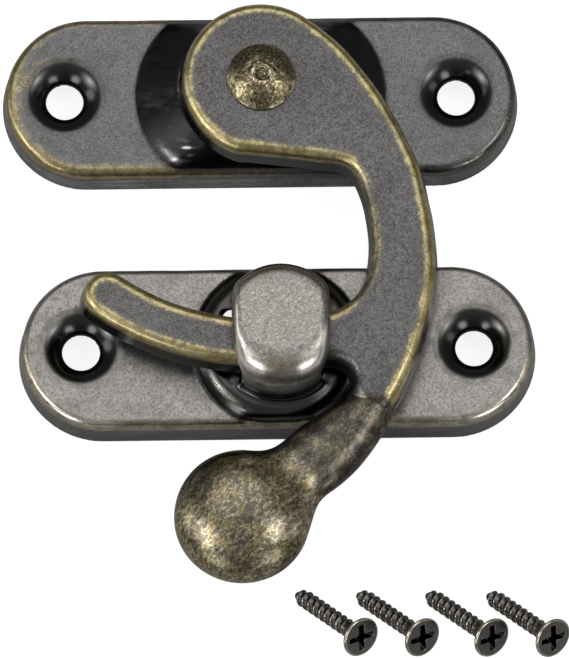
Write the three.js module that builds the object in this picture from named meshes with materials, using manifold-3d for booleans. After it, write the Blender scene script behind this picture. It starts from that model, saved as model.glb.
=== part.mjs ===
// Swing-arm hook latch for a small box or cabinet lid, antique bronze, 28 mm plates.
// Millimetres. The mounting plane is z = 0, +Z points out of the faces and +Y runs from
// the keeper plate towards the pivot plate. The origin is on the back of the pivot
// plate's rim, at the middle of the side that faces the keeper plate. The pieces are
// drawn about the rivet's axis and the whole latch is then moved up by DATUM_Y.
// The latch is closed, and its four wood screws lie loose beyond the knob.
import * as THREE from "three";
import { mergeVertices } from "three/addons/utils/BufferGeometryUtils.js";
import Module from "manifold-3d";

const wasm = await Module();
wasm.setup();

const DEG = Math.PI / 180;

// One finish per kind of piece.
const FINISH = {
  pivotPlate: { color: 0x5a5a5e, roughness: 0.42, metalness: 0.85 },
  keeperPlate: { color: 0x77716b, roughness: 0.4, metalness: 0.85 },
  rivet: { color: 0x7d6d45, roughness: 0.38, metalness: 0.9 },
  arm: { color: 0x6b665f, roughness: 0.45, metalness: 0.85 },
  screw: { color: 0x5d574c, roughness: 0.4, metalness: 0.85 },
};

// ------------------------------------------------------------------- helpers
function solid(geometry) {
  geometry.deleteAttribute("normal");
  geometry.deleteAttribute("uv");
  const merged = mergeVertices(geometry, 1e-4);
  return new wasm.Manifold(
    new wasm.Mesh({
      numProp: 3,
      vertProperties: new Float32Array(merged.attributes.position.array),
      triVerts: new Uint32Array(merged.index.array),
    }),
  );
}

function mesh(name, piece, finish) {
  const { vertProperties, triVerts } = piece.getMesh();
  const geometry = new THREE.BufferGeometry();
  const positions = new Float32Array(vertProperties);
  geometry.setAttribute("position", new THREE.BufferAttribute(positions, 3));
  geometry.setIndex(new THREE.BufferAttribute(new Uint32Array(triVerts), 1));
  geometry.computeVertexNormals();
  const made = new THREE.Mesh(geometry, new THREE.MeshStandardMaterial(finish));
  made.name = name;
  return made;
}

// A turned solid about +Z through (x, y), from a profile of [radius, z] pairs.
function turned(profile, segments, x = 0, y = 0) {
  const points = profile.map(([radius, z]) => new THREE.Vector2(radius, z));
  const geometry = new THREE.LatheGeometry(points, segments);
  geometry.rotateX(Math.PI / 2);
  geometry.translate(x, y, 0);
  return solid(geometry);
}

function cylinder(radius, bottom, top, segments, x = 0, y = 0) {
  const profile = [[0, bottom], [radius, bottom], [radius, top], [0, top]];
  return turned(profile, segments, x, y);
}

// A box from [low, high] ranges, set off by (x, y).
function block([x0, x1], [y0, y1], [z0, z1], x = 0, y = 0) {
  const geometry = new THREE.BoxGeometry(x1 - x0, y1 - y0, z1 - z0);
  geometry.translate(x + (x0 + x1) / 2, y + (y0 + y1) / 2, (z0 + z1) / 2);
  return solid(geometry);
}

// A flat-sided shape with round ends, along X.
function stadiumShape(length, width) {
  const radius = width / 2;
  const endX = length / 2 - radius;
  const shape = new THREE.Shape();
  shape.moveTo(-endX, -radius);
  shape.lineTo(endX, -radius);
  shape.absarc(endX, 0, radius, -Math.PI / 2, Math.PI / 2, false);
  shape.lineTo(-endX, radius);
  shape.absarc(-endX, 0, radius, Math.PI / 2, (3 * Math.PI) / 2, false);
  return shape;
}

// Leans the walls in, by nothing at z = 0 and by `draft` at the top.
function leanWalls(geometry, endX, top, draft) {
  const position = geometry.attributes.position;
  for (let i = 0; i < position.count; i++) {
    const x = position.getX(i);
    const y = position.getY(i);
    const outX = x - Math.max(-endX, Math.min(endX, x));
    const distance = Math.hypot(outX, y);
    if (distance < 0.1) continue;
    const lean = (draft * position.getZ(i)) / top / distance;
    position.setXY(i, x - outX * lean, y - y * lean);
  }
}

// A stadium block, its upper edge rounded by `round`. A bevel rounds both edges, so a
// rounded block is drawn too deep and its lower edge is trimmed off.
function stadium({ length, width, bottom, top, round = 0, draft = 0, x = 0, y = 0 }) {
  const extra = round ? 1 : 0;
  const geometry = new THREE.ExtrudeGeometry(stadiumShape(length, width), {
    depth: top - bottom + extra - round,
    curveSegments: 12,
    bevelEnabled: round > 0,
    bevelSize: round,
    bevelOffset: -round,
    bevelThickness: round,
    bevelSegments: 2,
  });
  geometry.translate(0, 0, bottom - extra);
  if (draft) leanWalls(geometry, (length - width) / 2, top, draft);
  geometry.translate(x, y, 0);
  const whole = solid(geometry);
  if (!round) return whole;
  return whole.intersect(block([-20, 20], [-10, 10], [bottom, top + 1], x, y));
}

// ------------------------------------------------------------ pressed plates
const PLATE_LENGTH = 28.0; // end to end
const PLATE_WIDTH = 9.2;
const PLATE_ROUND = 0.45; // rounding of the face's edge
const PLATE_DRAFT = 0.22; // the side walls lean in by this much at the face
const WALL = 0.9; // pressed sheet thickness
const DATUM_Y = (PLATE_WIDTH - WALL) / 2; // from the origin, mid rim, to the rivet's axis
const INSIDE_LENGTH = PLATE_LENGTH - 2 * WALL;
const INSIDE_WIDTH = PLATE_WIDTH - 2 * WALL;
const INSIDE_ROUND = 0.3;

const HOLE_OFFSET = 10.63; // screw hole centre from the plate's centre
const HOLE_R = 1.03;
const DIMPLE_R = 2.05; // countersunk dimple at the face
const DIMPLE_DEPTH = 0.9; // from the face to the hole's sharp edge

// A dimple's metal and the countersunk hole through it, for a plate face at z = face.
function dimple(face, x, y) {
  const edge = face - DIMPLE_DEPTH;
  const cup = [
    [0, edge - 0.35],
    [1.5, edge - 0.35],
    [2.7, edge + 0.25],
    [2.7, edge + 0.5],
    [0, edge + 0.5],
  ];
  const hole = [
    [0, -1],
    [HOLE_R, -1],
    [HOLE_R, edge],
    [1.3, edge + 0.12],
    [1.72, edge + 0.5],
    [DIMPLE_R, face + 0.02],
    [DIMPLE_R, 4],
    [0, 4],
  ];
  return { cup: turned(cup, 20, x, y), hole: turned(hole, 24, x, y) };
}

// A hollow-backed plate with two dimpled screw holes. `boss` is the raised middle and
// `hollow`, if any, is the space behind it.
function pressedPlate({ x, y, face, boss, hollow }) {
  const outside = stadium({
    length: PLATE_LENGTH,
    width: PLATE_WIDTH,
    bottom: 0,
    top: face,
    round: PLATE_ROUND,
    draft: PLATE_DRAFT,
    x,
    y,
  });
  let inside = stadium({
    length: INSIDE_LENGTH,
    width: INSIDE_WIDTH,
    bottom: -1,
    top: face - WALL,
    round: INSIDE_ROUND,
    x,
    y,
  });
  if (hollow) inside = inside.add(hollow);
  let plate = outside.add(boss).subtract(inside);
  for (const side of [-1, 1]) {
    const { cup, hole } = dimple(face, x + side * HOLE_OFFSET, y);
    plate = plate.add(cup).subtract(hole);
  }
  return plate;
}

// --------------------------------------------------------------- pivot plate
const PIVOT_FACE = 2.3; // height of the plate's face
const BOSS_FOOT_R = 6.5; // round boss, cut off by the plate's long sides
const BOSS_TOP_R = 4.3;
const BOSS_TOP = 3.65; // flat seat for the arm
const BOSS_CREST = 3.0; // half width of the boss across the plate at the seat
const BOSS_CURVE_STEPS = 4;
const BOSS_CURVE_POWER = 1.7; // above 1, the climb is hollow
const FLANK_RUN = 20; // length of the flank profile, longer than the boss
const SHANK_R = 1.1; // rivet
const SHANK_CLEARANCE = 0.06;

// Limits the boss across the plate: its flanks climb steeply from the plate's edges.
function bossFlanks() {
  const edge = PLATE_WIDTH / 2 - PLATE_DRAFT - 0.12;
  const shoulder = BOSS_CREST + 0.35;
  const top = BOSS_TOP + 0.3;
  // [across, up]
  const section = [
    [-edge, 0],
    [edge, 0],
    [edge, PIVOT_FACE - 0.25],
    [shoulder, 3.05],
    [BOSS_CREST, top],
    [-BOSS_CREST, top],
    [-shoulder, 3.05],
    [-edge, PIVOT_FACE - 0.25],
  ];
  const shape = new THREE.Shape(section.map(([across, up]) => new THREE.Vector2(across, up)));
  const geometry = new THREE.ExtrudeGeometry(shape, { depth: FLANK_RUN, bevelEnabled: false });
  // Turns (across, up, along) into (y, z, x), centred along X.
  geometry.applyMatrix4(
    new THREE.Matrix4().set(
      0, 0, 1, -FLANK_RUN / 2,
      1, 0, 0, 0,
      0, 1, 0, 0,
      0, 0, 0, 1,
    ),
  );
  return solid(geometry);
}

function pivotBoss() {
  const { lerp } = THREE.MathUtils;
  const profile = [[0, 1.6], [BOSS_FOOT_R, 1.6]];
  for (let i = 0; i <= BOSS_CURVE_STEPS; i++) {
    const climb = i / BOSS_CURVE_STEPS; // 0 at the foot, 1 at the seat
    profile.push([
      lerp(BOSS_FOOT_R, BOSS_TOP_R + 0.15, climb),
      lerp(PIVOT_FACE - 0.05, BOSS_TOP - 0.15, Math.pow(climb, BOSS_CURVE_POWER)),
    ]);
  }
  profile.push([BOSS_TOP_R - 0.05, BOSS_TOP], [0, BOSS_TOP]);
  return turned(profile, 48).intersect(bossFlanks());
}

function pivotHollow() {
  const roof = BOSS_TOP - WALL;
  return turned([[0, 1.0], [5.2, 1.0], [4.9, 1.5], [2.6, roof], [0, roof]], 32).intersect(
    stadium({ length: INSIDE_LENGTH, width: INSIDE_WIDTH - 1.2, bottom: -1, top: 4 }),
  );
}

function pivotPlate() {
  return pressedPlate({
    x: 0,
    y: 0,
    face: PIVOT_FACE,
    boss: pivotBoss(),
    hollow: pivotHollow(),
  }).subtract(cylinder(SHANK_R + SHANK_CLEARANCE, 0, 5, 32));
}

// -------------------------------------------------------------- keeper plate
const KEEPER = [0.7, -14.2]; // x, y of the plate's centre
const KEEPER_FACE = 2.45;
const KEEPER_BOSS_FOOT_R = 4.6; // low round boss
const KEEPER_BOSS_R = 4.1;
const KEEPER_BOSS_TOP = 2.95;
const HOOD_R = 3.3; // hood over the tongue: a round post with two flats
const HOOD_FLAT = 2.65; // half width across the flats
const HOOD_TOP = 7.4;
const HOOD_ROUND = 0.75;
const SLOT_HALF = 2.3; // half width of the passage for the tongue, along Y
const SLOT_ROOF = 6.0;
const WINDOW_R = 3.65; // opening through the plate under the hood
const WINDOW_Y = [-1.05, 2.35]; // its extent about the plate's centre

function keeperBoss() {
  const profile = [
    [0, 0.8],
    [KEEPER_BOSS_FOOT_R, 0.8],
    [KEEPER_BOSS_FOOT_R - 0.25, KEEPER_FACE - 0.02],
    [KEEPER_BOSS_R + 0.1, KEEPER_FACE + 0.16],
    [KEEPER_BOSS_R - 0.35, KEEPER_BOSS_TOP],
    [HOOD_R + 0.12, KEEPER_BOSS_TOP + 0.15],
    [0, KEEPER_BOSS_TOP + 0.15],
  ];
  return turned(profile, 48, ...KEEPER);
}

function keeperHood() {
  const profile = [
    [0, 1.2],
    [HOOD_R, 1.2],
    [HOOD_R, HOOD_TOP - HOOD_ROUND],
    [HOOD_R - 0.22, HOOD_TOP - 0.22],
    [HOOD_R - HOOD_ROUND, HOOD_TOP],
    [0, HOOD_TOP],
  ];
  const flats = block([-HOOD_FLAT, HOOD_FLAT], [-5, 5], [0, 9], ...KEEPER);
  return turned(profile, 40, ...KEEPER).intersect(flats);
}

// The metal behind the boss, down to a little above the mounting plane.
function keeperBacking() {
  const profile = [
    [0, 0.6],
    [4.35, 0.6],
    [KEEPER_BOSS_FOOT_R, 0.8],
    [KEEPER_BOSS_FOOT_R, 1.7],
    [0, 1.7],
  ];
  const [x, y] = KEEPER;
  return turned(profile, 48, x, y).intersect(
    stadium({ length: PLATE_LENGTH, width: PLATE_WIDTH - 0.2, bottom: 0, top: 2, x, y }),
  );
}

function keeperWindow() {
  return cylinder(WINDOW_R, -1, KEEPER_BOSS_TOP + 0.2, 32, ...KEEPER).intersect(
    block([-5, HOOD_FLAT + 0.02], WINDOW_Y, [-2, 4], ...KEEPER),
  );
}

function keeperPlate() {
  const [x, y] = KEEPER;
  const passage = block(
    [-4.2, 4.2],
    [-SLOT_HALF, SLOT_HALF],
    [KEEPER_BOSS_TOP + 0.001, SLOT_ROOF],
    x,
    y,
  );
  return pressedPlate({ x, y, face: KEEPER_FACE, boss: keeperBoss().add(keeperHood()) })
    .add(keeperBacking())
    .subtract(keeperWindow())
    .subtract(passage);
}

// ----------------------------------------------------------------- swing arm
const ARM_UNDER = 3.8;
const ARM_FACE = 5.6;
const ARM_ROUND = 0.35;
const HEAD_R = 4.2; // round head about the rivet
const ARM_BORE_R = 1.2;
const TONGUE_IN = 13.6; // tongue: a ring sector about the pivot, so that it swings clear
const TONGUE_OUT = 16.0;
const TONGUE_TIP = 35.3; // degrees from -Y towards -X, centre of the tongue's round tip
const TONGUE_ROOT_X = 3.0; // where the tongue's inner edge starts
const TONGUE_STEP = 4; // degrees
const KNOB = { x: -1.4, y: -24.3, z: 4.45, radius: 3.7, halfHeight: 2.1 };
const STEM_RADII = [1.3, 1.55];

// Edges of the flat arm, [x, y] points on smooth curves, in order round the outline.
const INNER_EDGE = [ // from the head to the tongue
  [-1.02, -4.07], [0.04, -4.2], [1.05, -4.32], [2.06, -4.44], [3.06, -4.6], [3.9, -4.68],
  [4.5, -4.86], [4.94, -5.28], [5.2, -5.75], [5.42, -6.35], [5.6, -7.0], [5.78, -8.1],
  [5.85, -9.0], [5.83, -9.7], [5.73, -10.45], [5.51, -11.26], [5.11, -11.98],
  [4.45, -12.66], [3.6, -13.11],
];
const NOTCH_EDGE = [ // from the tongue round the notch and along the stem
  [3.3, -15.66], [3.95, -15.78], [4.5, -16.2], [4.8, -16.85], [4.66, -17.4], [4.1, -17.75],
  [3.4, -18.15], [2.82, -18.64], [1.9, -19.25], [1.28, -19.76], [0.2, -20.9], [-0.9, -22.2],
];
const KNOB_END = [[-0.9, -22.2], [0.2, -24.6], [1.6, -24.2], [2.79, -23.36]];
const OUTER_EDGE = [ // from the knob back up to the head
  [2.79, -23.36], [3.35, -22.95], [4.06, -22.44], [4.78, -21.77], [5.4, -20.99],
  [5.91, -20.32], [6.3, -19.6], [6.82, -18.48], [7.24, -17.59], [7.66, -16.54],
  [8.11, -15.51], [8.57, -14.04], [9.0, -12.37], [9.2, -10.8], [9.2, -9.75], [9.12, -8.71],
  [9.0, -7.66], [8.83, -6.82], [8.69, -6.08], [8.5, -5.24], [8.21, -4.39], [7.83, -3.49],
  [7.43, -2.65], [6.94, -1.74], [6.36, -0.74], [5.76, 0.12], [5.17, 0.91], [4.58, 1.65],
  [3.85, 2.36], [3.18, 2.94],
];
// Centre line of the stem, [x, y, z] from the flat arm into the knob.
const STEM_PATH = [
  [5.75, -17.9, 4.6],
  [4.9, -19.3, 4.6],
  [3.5, -20.8, 4.55],
  [1.9, -21.9, 4.5],
  [0.0, -23.2, 4.45],
];

// Evenly spaced points along a curve, without its first.
function curvePoints(points, divisions) {
  const curve = new THREE.SplineCurve(points.map(([x, y]) => new THREE.Vector2(x, y)));
  return curve.getSpacedPoints(divisions).slice(1);
}

// A point at `angle` degrees about (x, y), anticlockwise from +X.
function polar(radius, angle, x = 0, y = 0) {
  return new THREE.Vector2(
    x + radius * Math.cos(angle * DEG),
    y + radius * Math.sin(angle * DEG),
  );
}

// The tongue's angles run from -Y, positive towards +X.
function tonguePoints() {
  const fromDown = (radius, angle) => polar(radius, angle - 90);
  const points = [];
  const root = Math.asin(TONGUE_ROOT_X / TONGUE_IN) / DEG;
  for (let angle = root; angle >= -TONGUE_TIP; angle -= TONGUE_STEP)
    points.push(fromDown(TONGUE_IN, angle));
  const tipRadius = (TONGUE_OUT - TONGUE_IN) / 2;
  const tip = fromDown((TONGUE_OUT + TONGUE_IN) / 2, -TONGUE_TIP);
  for (let i = 0; i <= 8; i++)
    points.push(polar(tipRadius, 90 - TONGUE_TIP + 22.5 * i, tip.x, tip.y));
  for (let angle = -TONGUE_TIP + TONGUE_STEP; angle <= 12; angle += TONGUE_STEP)
    points.push(fromDown(TONGUE_OUT, angle));
  return points;
}

// The flat casting, its outline anticlockwise from the head.
function flatArm() {
  const outline = [];
  for (let angle = 58; angle <= 256; angle += 9) outline.push(polar(HEAD_R, angle));
  outline.push(
    ...curvePoints(INNER_EDGE, 24),
    ...tonguePoints(),
    ...curvePoints(NOTCH_EDGE, 18),
    ...curvePoints(KNOB_END, 4),
    ...curvePoints(OUTER_EDGE, 34),
  );
  const geometry = new THREE.ExtrudeGeometry(new THREE.Shape(outline), {
    depth: ARM_FACE - ARM_UNDER - 2 * ARM_ROUND,
    bevelEnabled: true,
    bevelSize: ARM_ROUND,
    bevelOffset: -ARM_ROUND,
    bevelThickness: ARM_ROUND,
    bevelSegments: 2,
  });
  geometry.translate(0, 0, ARM_UNDER + ARM_ROUND);
  return solid(geometry);
}

// A fat oval bar that grows out of the flat arm and runs into the knob.
function stem() {
  const oval = new THREE.Shape();
  oval.absellipse(0, 0, ...STEM_RADII, 0, 2 * Math.PI, false);
  const path = STEM_PATH.map((point) => new THREE.Vector3(...point));
  return solid(
    new THREE.ExtrudeGeometry(oval, {
      curveSegments: 8,
      steps: 8,
      bevelEnabled: false,
      extrudePath: new THREE.CatmullRomCurve3(path),
    }),
  );
}

function knob() {
  const geometry = new THREE.SphereGeometry(1, 28, 14);
  geometry.rotateX(Math.PI / 2);
  geometry.scale(KNOB.radius, KNOB.radius, KNOB.halfHeight);
  geometry.translate(KNOB.x, KNOB.y, KNOB.z);
  return solid(geometry);
}

function swingArm() {
  return flatArm().add(stem()).add(knob()).subtract(cylinder(ARM_BORE_R, 2, 7, 32));
}

// --------------------------------------------------------------- pivot rivet
const RIVET_HEAD_R = 1.87;
const RIVET_SEAT = 5.65; // underside of the head
const RIVET_TOP = 6.55;
const CLENCH_R = 1.75; // spread end behind the plate
const CLENCH_TOP = 2.71;

function pivotRivet() {
  const profile = [
    [0, 2.15],
    [1.2, 2.15],
    [CLENCH_R, 2.4],
    [CLENCH_R, CLENCH_TOP],
    [SHANK_R, CLENCH_TOP],
    [SHANK_R, RIVET_SEAT],
    [RIVET_HEAD_R - 0.06, RIVET_SEAT],
    [RIVET_HEAD_R, RIVET_SEAT + 0.1],
    [RIVET_HEAD_R - 0.08, RIVET_SEAT + 0.28],
    [1.35, 6.25],
    [0.72, RIVET_TOP],
    [0.35, RIVET_TOP - 0.12],
    [0, RIVET_TOP - 0.1],
  ];
  return turned(profile, 32);
}

// --------------------------------------------------------------- wood screws
// Local frame: the tip at the origin, the axis along +Z, the head's face at z = length.
const SCREW_LENGTH = 5.9;
const SCREW_HEAD_R = 1.12;
const THREAD_R = 0.5;
const CORE_R = 0.36;
const THREAD_PITCH = 0.514;
const THREAD_END = 4.8;
const THREAD_HALF = 0.34; // half width of the ridge, in pitches
const SHAFT_ROWS = 48;
const SHAFT_SIDES = 8;
const POINT_LENGTH = 1.1; // the shaft grows from half size, by z / POINT_LENGTH
const RECESS = { topR: 0.36, bottomR: 0.12, depth: 1.2, stretch: 2.6, squeeze: 0.62 };

const SCREW_RISE = 35.5; // degrees above the mounting plane, head up
const SCREW_TURN = -45.6; // degrees from +X, plan direction from tip to head
const SCREW_TIP_Z = 0.22;
const SCREW_TIPS = [[1.58, -27.48], [4.88, -27.54], [8.61, -27.6], [11.9, -27.66]]; // x, y

// Shaft radius at a height and at a turn about the axis, in whole turns.
function threadRadius(z, turn) {
  let phase = z / THREAD_PITCH - turn;
  phase -= Math.floor(phase + 1e-9);
  const crest = Math.max(0, 1 - Math.abs(phase - 0.5) / THREAD_HALF);
  const point = Math.min(1, 0.5 + z / POINT_LENGTH);
  const fade = Math.min(1, Math.max(0, (THREAD_END - 0.1 - z) / 0.5));
  return (CORE_R + (THREAD_R - CORE_R) * crest * fade) * point;
}

function threadedShaft() {
  const geometry = new THREE.CylinderGeometry(1, 1, THREAD_END, SHAFT_SIDES, SHAFT_ROWS);
  geometry.rotateX(Math.PI / 2);
  geometry.translate(0, 0, THREAD_END / 2);
  const position = geometry.attributes.position;
  for (let i = 0; i < position.count; i++) {
    const x = position.getX(i);
    const y = position.getY(i);
    if (Math.hypot(x, y) < 1e-6) continue; // centres of the end caps
    const angle = Math.atan2(y, x);
    const turn = Math.round((angle / (2 * Math.PI)) * SHAFT_SIDES) / SHAFT_SIDES;
    const radius = threadRadius(position.getZ(i), turn);
    position.setXY(i, radius * Math.cos(angle), radius * Math.sin(angle));
  }
  return solid(geometry);
}

function screwHead() {
  const profile = [
    [0, THREAD_END - 0.4],
    [CORE_R - 0.02, THREAD_END - 0.4],
    [CORE_R + 0.1, SCREW_LENGTH - 0.9],
    [SCREW_HEAD_R, SCREW_LENGTH - 0.16],
    [SCREW_HEAD_R - 0.03, SCREW_LENGTH],
    [0, SCREW_LENGTH],
  ];
  return turned(profile, 20);
}

// One tapered arm of the cross recess.
function recessArm(turn) {
  const geometry = new THREE.CylinderGeometry(RECESS.topR, RECESS.bottomR, RECESS.depth, 4, 1);
  geometry.rotateY(Math.PI / 4);
  geometry.rotateX(Math.PI / 2);
  geometry.scale(RECESS.stretch, RECESS.squeeze, 1);
  geometry.rotateZ(turn);
  geometry.translate(0, 0, SCREW_LENGTH - 0.05);
  return solid(geometry);
}

function woodScrew() {
  return threadedShaft()
    .add(screwHead())
    .subtract(recessArm(0))
    .subtract(recessArm(Math.PI / 2));
}

// ------------------------------------------------------------------ assembly
const latch = new THREE.Group();
latch.position.y = DATUM_Y;
latch.add(mesh("pivot_plate", pivotPlate(), FINISH.pivotPlate));
latch.add(mesh("keeper_plate", keeperPlate(), FINISH.keeperPlate));
latch.add(mesh("pivot_rivet", pivotRivet(), FINISH.rivet));

// Turns about the rivet's axis.
const swing = new THREE.Group();
swing.add(mesh("swing_arm", swingArm(), FINISH.arm));
latch.add(swing);

const screw = woodScrew();
SCREW_TIPS.forEach(([x, y], i) => {
  const place = new THREE.Group();
  place.position.set(x, y, SCREW_TIP_Z);
  place.rotation.z = SCREW_TURN * DEG;
  const piece = mesh("wood_screw_" + (i + 1), screw, FINISH.screw);
  piece.rotation.y = (90 - SCREW_RISE) * DEG;
  place.add(piece);
  latch.add(place);
});

export default latch;
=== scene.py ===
# Swing-arm hook latch in antique bronze, with its four wood screws.
# The CAD nodes are replaced by dense cast-like surfaces of the same size.
import math
import bpy
import numpy as np
from mathutils import Matrix, Vector


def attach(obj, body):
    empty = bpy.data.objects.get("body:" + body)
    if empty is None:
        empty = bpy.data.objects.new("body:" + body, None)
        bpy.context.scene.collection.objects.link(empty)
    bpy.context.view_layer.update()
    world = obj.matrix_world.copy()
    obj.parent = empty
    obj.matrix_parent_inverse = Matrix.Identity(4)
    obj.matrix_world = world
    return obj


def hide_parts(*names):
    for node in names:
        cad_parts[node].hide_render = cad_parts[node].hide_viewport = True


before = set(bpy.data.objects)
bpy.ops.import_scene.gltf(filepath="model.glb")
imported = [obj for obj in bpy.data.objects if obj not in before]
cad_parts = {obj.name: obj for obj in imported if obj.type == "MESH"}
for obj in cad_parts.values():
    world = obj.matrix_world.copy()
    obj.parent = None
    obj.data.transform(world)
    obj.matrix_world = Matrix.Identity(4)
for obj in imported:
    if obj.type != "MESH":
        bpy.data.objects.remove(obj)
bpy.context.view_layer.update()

MM = 0.001
DATUM = np.array([0.0, 4.15, 0.0])  # shapes are drawn about the rivet's axis; the origin is on the plate's rim

# ------------------------------------------------------------------ fields
# Distance-like fields, negative inside, in millimetres.
def smax(a, b, k):
    h = np.clip(0.5 + 0.5 * (a - b) / k, 0, 1)
    return b + (a - b) * h + k * h * (1 - h)

def smin(a, b, k):
    return -smax(-a, -b, k)

def sstep(a, b, x):
    t = np.clip((x - a) / (b - a), 0, 1)
    return t * t * (3 - 2 * t)

def round_and(a, b, r):
    """Both a and b, with a true fillet of radius r on the outer edge."""
    return (np.hypot(np.maximum(a + r, 0), np.maximum(b + r, 0))
            + np.minimum(np.maximum(a + r, b + r), 0) - r)

def waves(P, scale, seed, n=18):
    """Smooth repeatable noise, about -1 to 1, for features of about `scale` mm."""
    rng = np.random.RandomState(seed)
    k = rng.normal(size=(n, 3))
    k *= (2 * math.pi / scale) * rng.uniform(0.6, 1.5, size=(n, 1)) / np.linalg.norm(k, axis=1, keepdims=True)
    ph = rng.uniform(0, 2 * math.pi, n)
    out = np.zeros(len(P))
    for i in range(n):
        out += np.sin(P @ k[i] + ph[i])
    return out / math.sqrt(n) / 1.2

def polygon_field(pts, pad=3.0, step=0.07):
    """Signed distance to a closed outline, sampled once and read back smoothly."""
    pts = np.asarray(pts, float)
    lo = pts.min(0) - pad
    n = np.ceil((pts.max(0) + pad - lo) / step).astype(int) + 2
    gx = lo[0] + step * np.arange(n[0])
    gy = lo[1] + step * np.arange(n[1])
    X, Y = np.meshgrid(gx, gy, indexing="ij")
    d2 = np.full(X.shape, 1e9)
    odd = np.zeros(X.shape, bool)
    for a, b in zip(pts, np.roll(pts, -1, axis=0)):
        e = b - a
        L = e @ e
        if L < 1e-12:
            continue
        t = np.clip(((X - a[0]) * e[0] + (Y - a[1]) * e[1]) / L, 0, 1)
        dx, dy = X - a[0] - t * e[0], Y - a[1] - t * e[1]
        np.minimum(d2, dx * dx + dy * dy, out=d2)
        if a[1] != b[1]:
            hit = (a[1] > gy) != (b[1] > gy)
            xc = a[0] + (gy - a[1]) / (b[1] - a[1]) * e[0]
            odd ^= hit[None, :] & (gx[:, None] < xc[None, :])
    D = np.sqrt(d2) * np.where(odd, -1, 1)

    def read(x, y):
        u = np.clip((x - lo[0]) / step, 0, n[0] - 1.001)
        v = np.clip((y - lo[1]) / step, 0, n[1] - 1.001)
        i, j = u.astype(int), v.astype(int)
        s, t = u - i, v - j
        return ((D[i, j] * (1 - s) + D[i + 1, j] * s) * (1 - t)
                + (D[i, j + 1] * (1 - s) + D[i + 1, j + 1] * s) * t)
    return read

def spline(pts, n):
    """A smooth open curve through the points."""
    p = np.asarray(pts, float)
    p = np.vstack([2 * p[0] - p[1], p, 2 * p[-1] - p[-2]])
    out = []
    for i in range(1, len(p) - 2):
        for t in np.linspace(0, 1, n, endpoint=False):
            a, b, c, d = p[i - 1], p[i], p[i + 1], p[i + 2]
            out.append(0.5 * (2 * b + (c - a) * t + (2 * a - 5 * b + 4 * c - d) * t * t
                              + (3 * b - a - 3 * c + d) * t ** 3))
    out.append(p[-2])
    return np.array(out)

def even(pts, step=0.12, ease=0.18):
    """A closed outline resampled evenly and eased, so that no measured wiggle is left."""
    p = np.vstack([pts, pts[:1]])
    s = np.concatenate([[0], np.cumsum(np.linalg.norm(np.diff(p, axis=0), axis=1))])
    m = int(s[-1] / step)
    t = np.linspace(0, s[-1], m, endpoint=False)
    q = np.stack([np.interp(t, s, p[:, 0]), np.interp(t, s, p[:, 1])], 1)
    w = np.exp(-0.5 * (np.arange(-8, 9) * step / ease) ** 2)
    w /= w.sum()
    return sum(wi * np.roll(q, i - 8, axis=0) for i, wi in enumerate(w))

# ------------------------------------------------------- surfaces from fields
CORNER = np.array([(i, j, k) for i in (0, 1) for j in (0, 1) for k in (0, 1)])
EDGE = [(a, b) for a in range(8) for b in range(a + 1, 8)
        if np.abs(CORNER[a] - CORNER[b]).sum() == 1]

def gradient(f, P, e):
    g = np.empty_like(P)
    for c in range(3):
        d = np.zeros(3)
        d[c] = e
        g[:, c] = (f(P + d) - f(P - d)) / (2 * e)
    return g

def skin(f, lo, hi, h, settle=4):
    """Quads over the field's zero surface, each vertex then settled on the exact surface."""
    lo = np.asarray(lo, float) + 0.0137 * h
    n = np.ceil((np.asarray(hi, float) - lo) / h).astype(int) + 1
    ax = [lo[c] + h * np.arange(n[c]) for c in range(3)]
    X, Y = np.meshgrid(ax[0], ax[1], indexing="ij")
    F = np.empty(tuple(n), np.float32)
    xy = np.stack([X.ravel(), Y.ravel()], 1)
    for k, z in enumerate(ax[2]):
        F[:, :, k] = f(np.column_stack([xy, np.full(len(xy), z)])).reshape(X.shape)
    S = F < 0
    cnt = sum(S[a:n[0] - 1 + a, b:n[1] - 1 + b, c:n[2] - 1 + c].astype(np.int8) for a, b, c in CORNER)
    cells = np.argwhere((cnt > 0) & (cnt < 8))
    index = np.full(tuple(n - 1), -1, np.int64)
    index[tuple(cells.T)] = np.arange(len(cells))
    val = np.stack([F[tuple((cells + c).T)] for c in CORNER], 1).astype(float)
    pos = np.zeros((len(cells), 3))
    num = np.zeros(len(cells))
    for a, b in EDGE:
        m = (val[:, a] < 0) != (val[:, b] < 0)
        t = val[m, a] / (val[m, a] - val[m, b])
        pos[m] += CORNER[a] + t[:, None] * (CORNER[b] - CORNER[a])
        num[m] += 1
    V = lo + h * (cells + pos / num[:, None])
    quads = []
    for axis in range(3):
        o1, o2 = (axis + 1) % 3, (axis + 2) % 3
        sl0 = [slice(None)] * 3
        sl1 = [slice(None)] * 3
        sl0[axis], sl1[axis] = slice(0, -1), slice(1, None)
        A, B = S[tuple(sl0)], S[tuple(sl1)]
        e = np.argwhere(A != B)
        e = e[(e[:, o1] > 0) & (e[:, o2] > 0) & (e[:, o1] < n[o1] - 1) & (e[:, o2] < n[o2] - 1)]
        out = A[tuple(e.T)]
        q = []
        for d1, d2 in ((-1, -1), (0, -1), (0, 0), (-1, 0)):
            c = e.copy()
            c[:, o1] += d1
            c[:, o2] += d2
            q.append(index[tuple(c.T)])
        q = np.stack(q, 1)
        quads.append(np.where(out[:, None], q, q[:, ::-1]))
    Q = np.vstack(quads)
    for _ in range(settle):
        g = gradient(f, V, 0.3 * h)
        v = f(V)
        gg = np.maximum((g * g).sum(1), 0.05)
        step = -(v / gg)[:, None] * g
        length = np.linalg.norm(step, axis=1, keepdims=True)
        V = V + step * np.minimum(1, 0.45 * h / np.maximum(length, 1e-9))
    g = gradient(f, V, 0.5 * h)
    N = g / np.maximum(np.linalg.norm(g, axis=1, keepdims=True), 1e-9)
    return V, Q, N

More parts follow.
